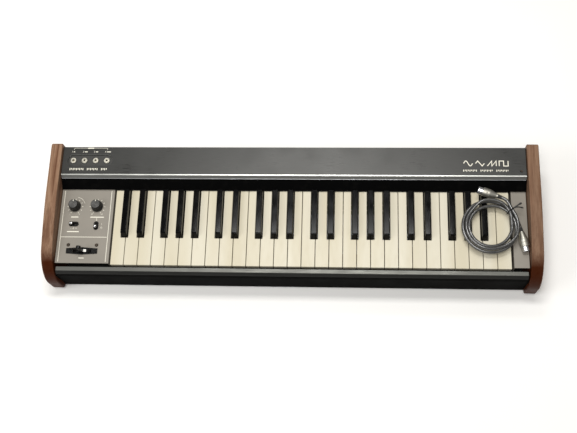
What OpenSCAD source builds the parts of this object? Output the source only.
// Keyboard controller for a modular synthesizer: 49 hinged keys in a steel case
// between two wooden cheeks, a grey control panel with two knobs, two slide
// switches and a bender lever, four output jacks, and a loose link cable.
// Millimetres. +X runs to the treble end, +Y to the back, +Z up. The origin is
// under the middle of the case, on the surface that the rubber feet stand on.

/* [Case] */
// Width between the inner faces of the cheeks
inner_w = 810; // [806:1:816]
// Depth of the cheeks, front to back
depth = 240; // [236:1:246]
// Height of the cheeks' top edge at the back
rear_h = 110; // [108:1:114]
// Thickness of a cheek
cheek_t = 20; // [16:1:24]
// Radius of the cheeks' rounded nose
nose_r = 58; // [54:1:60]
// Radius of the cheeks' gently crowned top edge
crown_r = 700; // [600:10:900]
// Thickness of the folded steel sheet
sheet = 1.5; // [1:0.25:2]

/* [Feet] */
// Height of a rubber foot
foot_h = 8; // [6:1:12]
// Diameter of a rubber foot
foot_d = 22; // [16:1:26]

/* [Keys] */
// Distance between the left edges of two white keys
white_pitch = 23.5; // [23.4:0.05:23.6]
// Gap between neighbouring white keys
white_gap = 1; // [0.8:0.1:1.2]
// Depth of a key's body below the playing surface
key_depth = 12; // [10:1:14]
// Height of the playing surface above the table
key_top = 84; // [80:1:84]
// Height of a black key above the playing surface
black_rise = 12; // [10:0.5:12]
// Width of a black key at its foot
black_foot_w = 11; // [10:0.5:11.5]
// Width of a black key at its top
black_top_w = 9.6; // [9:0.2:10]
// Length of a white key in front of the black keys
white_head = 50; // [48:1:52]
// How far a key's front edge can be pressed down
key_dip = 9.7; // [8:0.1:10]

/* [Controls] */
// Diameter of a knob at its foot
knob_d = 20.4; // [18:0.2:21]
// Height of a knob above the panel
knob_h = 15; // [12:0.5:17]
// Travel of the three-position transpose slider
transpose_travel = 7; // [6:0.5:8]
// Travel of the two-position portamento slider
glide_travel = 5; // [4:0.5:6]
// Height of the bender lever above the panel
bender_h = 25; // [20:1:30]
// Distance between two output jacks
jack_pitch = 20; // [16:1:20]

/* [Link cable] */
// Diameter of the cable
cable_d = 5.6; // [5:0.1:6]
// Radius of the coil, at the middle of its turns
coil_r = 40.3; // [39:0.1:40.3]

/* [Hidden] */
half_w = inner_w / 2;
half_d = depth / 2;
slack = 0.3;                       // clearance of parts that pass each other
seam = 0.1;                        // clearance of parts that are screwed or pushed together

// --- the run of keys
octaves = 4;
white_count = 7 * octaves + 1;
key_count = 12 * octaves + 1;
first_octave = 2;
keys_left = 34 - white_count * white_pitch / 2;   // the control panel moves the keys right
keys_right = keys_left + white_count * white_pitch;
key_front = -half_d + 24.5;
black_front = key_front + white_head;
raised_end = key_front + 134.2;    // back end of a black key's raised top
fall_edge = key_front + 136;       // lower edge of the fallboard, just behind the black keys
tail_end = key_front + 139;
pivot_y = key_front + 198.5;
pivot_z = key_top - 7;
pivot_d = 4;
arm_w = 11;
arm_end = pivot_y + 5.5;
notch_gap = 1.1;                   // between a black key and the white keys beside it
key_bottom = key_top - key_depth;

NOTES = ["c", "csharp", "d", "dsharp", "e", "f", "fsharp", "g", "gsharp", "a", "asharp", "b"];
WHITE_OF = [0, 0, 1, 1, 2, 3, 3, 4, 4, 5, 5, 6];  // white keys to the left within the octave
BLACK = [false, true, false, true, false, false, true, false, true, false, true, false];

function note(k) = k % 12;
function octave(k) = floor(k / 12);
function key_name(k) = str("key_", NOTES[note(k)], first_octave + octave(k));
// Behind the black keys each octave is shared out evenly: five slots from C to E, seven from F to B.
function slot_centre(k) = keys_left + octave(k) * 7 * white_pitch
    + (note(k) < 5 ? (note(k) + 0.5) * 3 * white_pitch / 5
                   : 3 * white_pitch + (note(k) - 4.5) * 4 * white_pitch / 7);
function white_left(k) = keys_left + (octave(k) * 7 + WHITE_OF[note(k)]) * white_pitch + white_gap / 2;
function white_right(k) = white_left(k) + white_pitch - white_gap;
function is_black(k) = k >= 0 && k < key_count && BLACK[note(k)];
notch_half = black_foot_w / 2 + notch_gap;

KEYS = [for (k = [0 : key_count - 1]) key_name(k)];

// --- the case
floor_z = foot_h;                  // underside of the base pan and the cheeks
pan_top = floor_z + sheet;
slip_top = key_top - 3;
slip_back = key_front - 3.3;
slip_flat = 7;                     // width of the slip's flat top
slip_bevel = 5;
slip_h = 13;
board_front = slip_back - slip_flat - slip_bevel - 1.3;
slip_half = half_w - 3;
rear_y = half_d - 5.5;             // outer face of the rear panel
panel_top = key_top + 20;
panel_front = rear_y - 53.3;
panel_half = half_w - 1.5;
lip = 4.4;                         // drop and depth of the panel's slanted front lip
trim_w = 2.2;
trim_h = 0.8;
fall_z = key_top + 2.5;            // lower edge of the fallboard, over the white keys
foot_x = half_w - 9;
foot_y = half_d - 20;

// --- the jacks and their recess in the top panel
recess_x = -half_w + 50.6;
recess_y = rear_y - 25.2;
recess_l = 80;
recess_w = 20.6;
recess_drop = 3;
jack_bore_r = 1.8;
jack_depth = 14;
thread_d = 6;
nut_d = 10;
nut_h = 2.4;

// --- the two end panels beside the keys
left_x0 = -half_w + 1.4;
left_x1 = keys_left - 2.7;
right_x0 = keys_right + 3.6;
right_x1 = half_w - 1.4;
end_front = key_front + 2;
end_back = rear_y - 60;

// --- the controls, by their places on the left end panel
knob_y = 9.5;
tune_x = -half_w + 27.1;
glide_x = -half_w + 66.7;
shaft_r = 3;
bush_r = 4.2;
transpose_x = -half_w + 27.7;
transpose_y = -23;
glide_sw_x = -half_w + 67.5;
glide_sw_y = -25.6;
slot_w = 5;
transpose_slot = 14;
glide_slot = 12;
bezel_rim = 1.8;
bezel_h = 1;
slider_w = 4.4;
slider_l = 5.6;
slider_h = 5;
bender_x = -half_w + 46.9;
bender_y = -71.8;
bender_axis_z = key_top - 20;
bender_angle = 22;
bender_slot_half = 16.5;
bender_w = 6;
bender_head_r = 4;
saddle_r = 24;
saddle_half_angle = 58;
bender_pin_r = 1.98;
screw_dx = 24.9;
screw_y = -60.9;
top_screw_x = half_w - 10;          // the one screw in the top panel
top_screw_y = rear_y - 43;

// --- the DIN socket in the rear panel
din_x = -half_w + 60;
din_z = 52;
din_r = 6.8;                       // the well that takes a plug's shell
din_wall = 1.2;
din_flange = 1.6;
din_deep = 7.4;

// --- the link cable, which lies coiled on the treble keys
coil_x = 339.1;
coil_y = -25.8;
coil_z = key_top + black_rise + slack;   // underside of the coil
coil_w = 2.82 * cable_d;                 // width of the bundle of turns
coil_h = 2 * cable_d;
sleeve_d = 7.4;
sleeve_l = 7;
plug_neck = 8.6;                   // where the plug's taper starts
plug_taper = 14;
plug_d = 15.4;
plug_barrel = 12;
shell_d = 13.2;
shell_l = 8;
shell_t = 0.6;
// Each plug's cable end, its heading in degrees from +X, and its dip.
REAR_PLUG = [[359.3, 23.8, coil_z + plug_d / 2], 161, 0];
SIDE_PLUG = [[388.6, -27, key_top + 13.1], -76, 8];

// ---------------------------------------------------------------- shared shapes

// Points of an arc about [x, y], from angle a to angle b.
function arc(x, y, r, a, b, n = 12) = [for (i = [0 : n]) let (t = a + (b - a) * i / n) [x + r * cos(t), y + r * sin(t)]];

// A profile drawn in Y and Z, extruded along X from x0 to x1.
module along_x(x0, x1) translate([x0, 0, 0]) rotate([90, 0, 90]) linear_extrude(x1 - x0) children();

// A box given by its two corners.
module block(a, b) translate(a) cube(b - a);

// A flat slot shape with round ends, its long side along X.
module obround(l, w) {
    square([l - w, w], center = true);
    for (s = [-1, 1]) translate([s * (l - w) / 2, 0]) circle(d = w, $fn = 48);
}

// The head of a pan-head screw, standing on z = 0, with a cross recess.
module pan_screw(d, h) difference() {
    cylinder(d1 = d, d2 = d * 0.72, h = h, $fn = 32);
    for (a = [0, 90]) rotate(a) translate([-d * 0.28, -d * 0.06, h * 0.4]) cube([d * 0.56, d * 0.12, h]);
}

// ---------------------------------------------------------------- case

// The cheek's top edge is level at the back, falls in a gentle crown and turns into the nose.
module cheek_profile() {
    corner = 8;
    rear_corner = 5;
    crown_y = 45;
    nose_y = -half_d + nose_r;
    turn = asin((crown_y - nose_y) / (crown_r - nose_r));
    nose_z = rear_h - crown_r + (crown_r - nose_r) * cos(turn);
    polygon(concat(
        [[half_d - 3, floor_z], [half_d, floor_z + 3]],
        arc(half_d - rear_corner, rear_h - rear_corner, rear_corner, 0, 90, 6),
        arc(crown_y, rear_h - crown_r, crown_r, 90, 90 + turn, 10),
        arc(nose_y, nose_z, nose_r, 90 + turn, 180, 24),
        arc(-half_d + corner, floor_z + corner, corner, 180, 270, 6)));
}

module side_cheeks() color("sienna")
    for (x = [-half_w - cheek_t, half_w]) along_x(x, x + cheek_t) cheek_profile();

module base_pan() difference() {
    block([-half_w, board_front + sheet + seam, floor_z], [half_w, rear_y - sheet - seam, pan_top]);
    // vent slots under the circuit board
    for (i = [0 : 5]) translate([-half_w + 20 + 12 * i, -40, floor_z - 1]) cube([3, 60, sheet + 2]);
}

module rear_panel() difference() {
    block([-half_w, rear_y - sheet, floor_z], [half_w, rear_y, panel_top - sheet - seam]);
    translate([din_x, rear_y + 1, din_z]) rotate([90, 0, 0])
        cylinder(r = din_r + din_wall + seam, h = sheet + 2, $fn = 48);
}

module front_board()
    block([-half_w, board_front, floor_z], [half_w, board_front + sheet, slip_top - slip_h - seam]);

module key_slip() along_x(-slip_half, slip_half) polygon([
    [slip_back, slip_top - slip_h], [slip_back, slip_top],
    [slip_back - slip_flat, slip_top], [slip_back - slip_flat - slip_bevel, slip_top - 4],
    [slip_back - slip_flat - slip_bevel - 1.3, slip_top - slip_h]]);

module feet() for (x = [-foot_x, foot_x], y = [-foot_y, foot_y])
    translate([x, y, 0]) cylinder(d1 = foot_d - 3, d2 = foot_d, h = foot_h - seam, $fn = 48);

// The DIN socket is a round well in the rear panel, with its contact face at the bottom.
module din_socket() translate([din_x, rear_y, din_z]) rotate([90, 0, 0]) difference() {
    union() {
        translate([0, 0, -din_flange]) cylinder(r = din_r + 3.2, h = din_flange - seam, $fn = 64);
        translate([0, 0, -din_flange]) cylinder(r = din_r + din_wall, h = din_flange + din_deep + 3, $fn = 64);
    }
    translate([0, 0, -din_flange - 1]) cylinder(r = din_r, h = din_flange + din_deep + 1, $fn = 64);
    for (a = [0 : 45 : 180]) rotate(a) translate([3.5, 0, din_deep - 1]) cylinder(r = 0.8, h = 3, $fn = 16);
}

module rear_screws() for (x = [-half_w + 14, -half_w / 3, half_w / 3, half_w - 14], z = [20, panel_top - 12])
    translate([x, rear_y + seam, z]) rotate([-90, 0, 0]) pan_screw(6, 2);

module case_shell() color("#1c1b1a") {
    base_pan();
    rear_panel();
    front_board();
    key_slip();
    feet();
    din_socket();
    rear_screws();
}

// ---------------------------------------------------------------- panels

module top_sheet() difference() {
    along_x(-panel_half, panel_half) polygon([
        [panel_front, panel_top], [rear_y, panel_top], [rear_y, panel_top - sheet],
        [panel_front + 0.4 * sheet, panel_top - sheet],
        [panel_front - lip + sheet, panel_top - lip - 0.4 * sheet],
        [panel_front - lip, panel_top - lip]]);
    translate([recess_x, recess_y, panel_top - 3]) linear_extrude(6) obround(recess_l, recess_w);
}

// The jacks' recess: a shallow tray with round ends under the opening.
module jack_tray() translate([recess_x, recess_y, panel_top - recess_drop - sheet]) difference() {
    linear_extrude(recess_drop - seam) obround(recess_l + 3, recess_w + 3);
    translate([0, 0, sheet]) linear_extrude(6) obround(recess_l, recess_w);
    for (i = [-1.5 : 1.5]) translate([i * jack_pitch, 0, -1]) cylinder(d = thread_d + 2 * seam, h = 6, $fn = 48);
}

// One output jack: its body under the tray, its thread, and the round nut on top.
module jack(i) translate([recess_x + (i - 1.5) * jack_pitch, recess_y, panel_top - recess_drop]) difference() {
    union() {
        translate([0, 0, seam]) cylinder(d = nut_d, h = nut_h - seam, $fn = 48);
        translate([0, 0, -sheet - 1]) cylinder(d = thread_d, h = nut_h + sheet + 1.6, $fn = 48);
        translate([0, 0, -sheet - 13]) cylinder(d = 9, h = 13 - seam, $fn = 48);
    }
    translate([0, 0, nut_h + 0.6 - jack_depth]) cylinder(r = jack_bore_r, h = jack_depth + 1, $fn = 48);
}

module trim_strip() block([-panel_half, panel_front, panel_top + seam],
    [panel_half, panel_front + trim_w, panel_top + trim_h]);

// The fallboard slopes down from the panel's lip to the back of the keys.
module fallboard() along_x(-panel_half, panel_half) polygon([
    [fall_edge, fall_z], [fall_edge, fall_z + sheet],
    [panel_front - lip + seam, panel_top - lip - sheet], [panel_front - lip + sheet, panel_top - lip - sheet],
    [fall_edge + sheet, fall_z]]);

// A steel plate at playing height with a folded flange on the side towards the keys.
module end_plate(x0, x1, flange_x) {
    block([x0, end_front, key_top - sheet], [x1, end_back, key_top]);
    block([flange_x, end_front, key_top - 22], [flange_x + sheet, end_back, key_top - sheet]);
}

module control_plate() difference() {
    end_plate(left_x0, left_x1, left_x1 - sheet);
    for (x = [tune_x, glide_x]) translate([x, knob_y, key_top - 4]) cylinder(r = bush_r, h = 6, $fn = 48);
    translate([transpose_x, transpose_y, key_top - 4]) linear_extrude(8) obround(transpose_slot, slot_w);
    translate([glide_sw_x, glide_sw_y, key_top - 4]) rotate(90) linear_extrude(8) obround(glide_slot, slot_w);
    bender_opening();
}

module bender_opening() translate([bender_x, bender_y, key_top - 4]) linear_extrude(8)
    square([2 * bender_slot_half, bender_w + 1], center = true);

// The bender's escutcheon is a little wider at the middle than at its ends.
module escutcheon() difference() {
    translate([bender_x, bender_y, key_top + seam]) linear_extrude(1.4) polygon([
        [-27.5, -4.6], [0, -6.6], [27.5, -4.6], [27.5, 4.6], [0, 6.6], [-27.5, 4.6]]);
    bender_opening();
}

module switch_bezel(l) translate([0, 0, seam]) difference() {
    linear_extrude(bezel_h) obround(l + 2 * bezel_rim, slot_w + 2 * bezel_rim);
    translate([0, 0, -1]) linear_extrude(4) obround(l, slot_w);
}

module panel_screws() {
    for (s = [-1, 1]) translate([bender_x + s * screw_dx, screw_y, key_top + seam]) pan_screw(6.4, 2.2);
    translate([top_screw_x, top_screw_y, panel_top + seam]) pan_screw(4.6, 1.2);
}

module panels() {
    color("#2b2b2b") {
        top_sheet();
        jack_tray();
        fallboard();
        escutcheon();
        translate([transpose_x, transpose_y, key_top]) switch_bezel(transpose_slot);
        translate([glide_sw_x, glide_sw_y, key_top]) rotate(90) switch_bezel(glide_slot);
        panel_screws();
    }
    color("silver") {
        trim_strip();
        for (i = [0 : 3]) jack(i);
    }
    color("#a39d96") {
        control_plate();
        end_plate(right_x0, right_x1, right_x0);
    }
}

// ---------------------------------------------------------------- key bed

frame_z = 48;
frame_top = frame_z + 2;
felt_y = key_front + 15;
felt_top = key_bottom - key_dip + 0.5;
felt_t = 3;
up_stop_y = key_front + 160;
main_board_z = 56;

module key_frame() {
    block([keys_left, key_front + 8, frame_z], [keys_right, arm_end + 3, frame_top]);
    for (i = [0 : 4]) translate([keys_left + 4 + i * (keys_right - keys_left - 14) / 4, -60, pan_top + seam])
        cube([6, 140, frame_z - seam - pan_top - seam]);
}

// The stop rails, each with a strip of felt: one under the key fronts, one over the key arms.
module stop_rails() {
    block([keys_left, felt_y, frame_top + seam], [keys_right, felt_y + 14, felt_top - felt_t - seam]);
    block([keys_left, felt_y, felt_top - felt_t], [keys_right, felt_y + 14, felt_top]);
    block([keys_left, up_stop_y, key_top + slack], [keys_right, up_stop_y + 10, key_top + 2]);
    block([keys_left, up_stop_y, key_top + 2 + seam], [keys_right, up_stop_y + 10, key_top + 6]);
}

// Bracket plates stand in the gaps beside each octave and carry the pivot rod.
module pivot_brackets() for (x = concat([for (o = [0 : octaves]) keys_left + o * 7 * white_pitch - 0.6],
                                        [keys_left + (octaves * 7 + 0.6) * white_pitch - 0.6]))
    translate([x, 0, 0]) difference() {
        block([0, up_stop_y, frame_top + seam], [1.2, pivot_y + 5, key_top + slack - seam]);
        translate([-1, pivot_y, pivot_z]) rotate([0, 90, 0]) cylinder(d = pivot_d + 2 * seam, h = 4, $fn = 32);
    }

module pivot_rod() translate([keys_left - 1, pivot_y, pivot_z]) rotate([0, 90, 0])
    cylinder(d = pivot_d, h = keys_right - keys_left - 1, $fn = 48);

// One coil spring pulls each key's tail down behind the pivot; only its outer form is drawn.
module key_springs() for (k = [0 : key_count - 1])
    translate([slot_centre(k), pivot_y + 3, frame_top + seam]) difference() {
        cylinder(d = 4, h = key_bottom - frame_top - slack, $fn = 12);
        translate([0, 0, 1]) cylinder(d = 2.6, h = 40, $fn = 12);
    }

module contact_board() {
    block([keys_left + 5, 10, frame_top + seam], [keys_right - 5, 34, frame_top + 1.7]);
    for (y = [16, 26]) translate([keys_left + 8, y, frame_top + 4]) rotate([0, 90, 0])
        cylinder(d = 1.6, h = keys_right - keys_left - 16, $fn = 24);
}

module main_board() {
    top = main_board_z + 1.6 + seam;
    block([left_x0 + 6, -44, main_board_z], [left_x1 - 8, 40, main_board_z + 1.6]);
    for (x = [left_x0 + 12, left_x1 - 14], y = [-38, 34])
        translate([x, y, pan_top + seam]) cylinder(d = 6, h = main_board_z - pan_top - 2 * seam, $fn = 24);
    // integrated circuits and capacitors
    for (i = [0 : 2]) translate([left_x0 + 16 + 20 * i, -30, top]) cube([6, 18, 3.4]);
    for (i = [0 : 3]) translate([left_x0 + 16 + 15 * i, 26, top]) cylinder(d = 7, h = 8, $fn = 24);
}

// A potentiometer hangs under the panel; its bush stands up through the hole.
module pot(x) translate([x, knob_y, 0]) difference() {
    union() {
        translate([0, 0, key_top - sheet - 9]) cylinder(d = 17, h = 9 - seam, $fn = 48);
        translate([0, 0, key_top - sheet - 1]) cylinder(r = bush_r - seam, h = sheet + 2.2, $fn = 48);
    }
    translate([0, 0, key_top - 8]) cylinder(r = shaft_r + 0.08, h = 12, $fn = 48);
}

module switch_body(l) translate([-l / 2 - 3, -5, key_top - sheet - 8 - seam]) difference() {
    cube([l + 6, 10, 8]);
    translate([3, 5 - slot_w / 2, 3]) cube([l, slot_w, 6]);
}

// The two ears that carry the bender's pin, below its slot.
module bender_bracket() for (s = [-1, 1])
    translate([bender_x, bender_y + s * 8, 0]) difference() {
        block([-9, -1, bender_axis_z - 8], [9, 1, key_top - sheet - seam]);
        translate([0, 2, bender_axis_z]) rotate([90, 0, 0]) cylinder(r = bender_pin_r + 0.06, h = 4, $fn = 32);
    }

module key_bed() color("#8d9094") {
    key_frame();
    stop_rails();
    pivot_brackets();
    pivot_rod();
    key_springs();
    contact_board();
    main_board();
    for (x = [tune_x, glide_x]) pot(x);
    translate([transpose_x, transpose_y, 0]) switch_body(transpose_slot);
    translate([glide_sw_x, glide_sw_y, 0]) rotate(90) switch_body(glide_slot);
    bender_bracket();
}

// ---------------------------------------------------------------- controls

knob_gap = 1.6;                    // between the panel and the knob's skirt

module knob(x) color("#2e2e2e") translate([x, knob_y, key_top]) {
    difference() {
        rotate_extrude($fn = 96) polygon([
            [shaft_r, knob_gap], [knob_d / 2, knob_gap], [knob_d / 2, knob_gap + 2],
            [knob_d / 2 - 0.9, knob_gap + 2.6], [knob_d / 2 - 1.9, knob_h - 0.6],
            [knob_d / 2 - 2.5, knob_h], [0, knob_h], [0, knob_h - 2.5], [shaft_r, knob_h - 2.5]]);
        // finger flutes round the body
        for (a = [0 : 18 : 342]) rotate(a) translate([knob_d / 2 + 0.1, 0, knob_gap + 2.6])
            cylinder(r = 1.2, h = knob_h, $fn = 20);
        // pointer groove across the top
        translate([-0.5, 2.5, knob_h - 0.5]) cube([1, knob_d, 2]);
    }
    translate([0, 0, -7]) cylinder(r = shaft_r - 0.02, h = knob_h + 4.4, $fn = 48);
}

// A slide switch's thumb piece at its rest end, drawn along X.
module slider(travel) translate([-travel / 2, 0, key_top]) {
    foot = bezel_h + slack;
    block([-slider_l / 2, -slider_w / 2 + 0.5, -5], [slider_l / 2, slider_w / 2 - 0.5, foot]);
    difference() {
        block([-slider_l / 2, -slider_w / 2, foot], [slider_l / 2, slider_w / 2, slider_h]);
        for (i = [-1 : 1]) translate([i * 1.6 - 0.3, -5, slider_h - 0.7]) cube([0.6, 10, 2]);
    }
}

module transpose_slider() color("gainsboro") translate([transpose_x, transpose_y, 0]) slider(transpose_travel);

module portamento_slider() color("gainsboro") translate([glide_sw_x, glide_sw_y, 0]) rotate(90) slider(glide_travel);

// The lever swings left and right on a pin; its round saddle keeps the slot closed.
module bender_lever() color("#191919") translate([bender_x, bender_y, bender_axis_z]) {
    top = key_top - bender_axis_z + bender_h - bender_head_r;
    lean = saddle_half_angle;
    rotate([90, 0, 0]) difference() {
        linear_extrude(bender_w, center = true) union() {
            circle(r = 6, $fn = 48);
            polygon([[-4, 0], [4, 0], [2.4, top], [-2.4, top]]);
            translate([0, top]) circle(r = bender_head_r, $fn = 48);
            polygon(concat(arc(0, 0, saddle_r, 90 - lean, 90 + lean, 32),
                           arc(0, 0, saddle_r - 2.2, 90 + lean, 90 - lean, 32)));
        }
        cylinder(r = bender_pin_r + 0.02, h = 2 * bender_w, center = true, $fn = 48);
    }
    rotate([90, 0, 0]) cylinder(r = bender_pin_r, h = 18, center = true, $fn = 48);
}

// ---------------------------------------------------------------- keys

// Plan of a white key: a full-width head, a tail between its black neighbours and an arm.
function white_plan(k) =
    let (l = white_left(k), r = white_right(k), c = slot_centre(k), y = black_front - notch_gap,
         tl = is_black(k - 1) ? slot_centre(k - 1) + notch_half : l,
         tr = is_black(k + 1) ? slot_centre(k + 1) - notch_half : r)
    concat(
        [[l, key_front], [r, key_front]],
        tr < r ? [[r, y], [tr, y]] : [],
        [[tr, tail_end], [c + arm_w / 2, tail_end], [c + arm_w / 2, arm_end],
         [c - arm_w / 2, arm_end], [c - arm_w / 2, tail_end], [tl, tail_end]],
        tl > l ? [[tl, y], [l, y]] : []);

module pivot_bore(k) translate([slot_centre(k) - 20, pivot_y, pivot_z]) rotate([0, 90, 0])
    cylinder(d = pivot_d + 0.2, h = 40, $fn = 48);

module white_key(k) color("ivory") difference() {
    translate([0, 0, key_bottom]) linear_extrude(key_depth) polygon(white_plan(k));
    pivot_bore(k);
}

// A black key's raised top leans back at the front and in at the sides.
module black_top(k) intersection() {
    along_x(slot_centre(k) - 10, slot_centre(k) + 10) polygon([
        [black_front, key_top], [black_front + 1, key_top + 3], [black_front + 4.5, key_top + black_rise - 0.6],
        [black_front + 8, key_top + black_rise], [raised_end, key_top + black_rise], [raised_end, key_top]]);
    translate([slot_centre(k), raised_end + 5, 0]) rotate([90, 0, 0]) linear_extrude(120) polygon([
        [-black_foot_w / 2, key_top], [black_foot_w / 2, key_top],
        [black_top_w / 2, key_top + black_rise], [-black_top_w / 2, key_top + black_rise]]);
}

module black_key(k) color("#151515") difference() {
    union() {
        block([slot_centre(k) - black_foot_w / 2, black_front, key_bottom],
              [slot_centre(k) + black_foot_w / 2, arm_end, key_top]);
        black_top(k);
    }
    pivot_bore(k);
}

// ---------------------------------------------------------------- link cable

// A DIN plug with its cable end at the origin, pointing along +X.
module din_plug() rotate([0, 90, 0]) difference() {
    union() {
        cylinder(d1 = sleeve_d - 0.8, d2 = sleeve_d, h = sleeve_l, $fn = 32);
        translate([0, 0, sleeve_l]) cylinder(d1 = plug_neck, d2 = plug_d, h = plug_taper, $fn = 48);
        translate([0, 0, sleeve_l + plug_taper]) cylinder(d = plug_d, h = plug_barrel, $fn = 48);
        translate([0, 0, sleeve_l + plug_taper + plug_barrel]) cylinder(d = shell_d, h = shell_l, $fn = 48);
    }
    translate([0, 0, sleeve_l + plug_taper + plug_barrel + 1])
        cylinder(d = shell_d - 2 * shell_t, h = shell_l, $fn = 48);
}

module plug_at(place) translate(place[0]) rotate([0, place[2], place[1]]) children();

// Room for a plug, left free by the turns.
module plug_room() rotate([0, 90, 0]) cylinder(d = plug_d + 2 * slack, h = sleeve_l + plug_taper + plug_barrel);

// The outer shape of the coil's turns, which give way to the plugs.
module link_coil() color("dimgray") difference() {
    translate([coil_x, coil_y, coil_z]) rotate_extrude($fn = 96)
        translate([coil_r - coil_w / 2, 0]) square([coil_w, coil_h]);
    plug_at(REAR_PLUG) plug_room();
    plug_at(SIDE_PLUG) plug_room();
}

module link_plugs() color("darkgray") {
    plug_at(REAR_PLUG) din_plug();
    plug_at(SIDE_PLUG) din_plug();
}

// ---------------------------------------------------------------- nodes

side_cheeks();
case_shell();
panels();
key_bed();
knob(tune_x);  // tune_knob
knob(glide_x);  // portamento_knob
transpose_slider();
portamento_slider();
bender_lever();
for (k = [0 : key_count - 1])
    union() { if (is_black(k)) black_key(k); else white_key(k); }
link_coil();
link_plugs();
